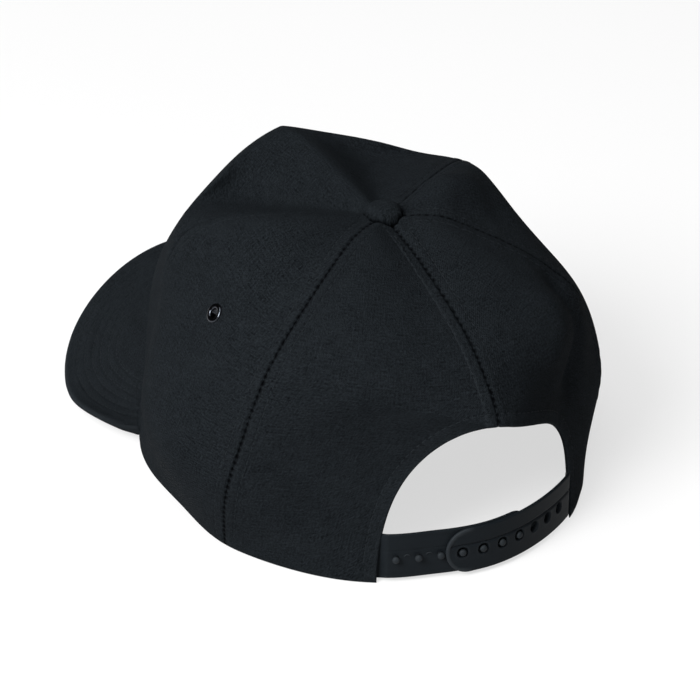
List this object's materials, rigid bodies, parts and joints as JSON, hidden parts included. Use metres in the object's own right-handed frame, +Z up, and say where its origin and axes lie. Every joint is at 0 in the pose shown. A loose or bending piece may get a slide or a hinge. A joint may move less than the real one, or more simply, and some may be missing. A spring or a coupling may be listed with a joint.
{
  "type": "five panel cap",
  "caption": "Soft cloth cap with a tall one piece front folded to a prow, stitched seams, a curved peak, vent eyelets and a pegged strap across an arched gap at the back.",
  "frame": {"origin": "middle of the footprint, on the surface the cap stands on", "axes": "+Z up, -Y toward the tip of the peak, +X toward the wearer's left"},
  "size_m": [0.1832, 0.2626, 0.1202],
  "materials": {
    "cotton": "matt black cotton twill",
    "strap_plastic": "semi matt moulded black plastic",
    "eyelet_metal": "dark polished metal"
  },
  "bodies": {
    "root": {"front_panel": "cotton", "left_side_panel": "cotton", "right_side_panel": "cotton", "left_back_panel": "cotton", "right_back_panel": "cotton", "button": "cotton", "left_eyelet": "eyelet_metal", "right_eyelet": "eyelet_metal", "peak": "cotton", "peg_strap": "strap_plastic", "hole_strap": "strap_plastic"}
  },
  "joints": []
}
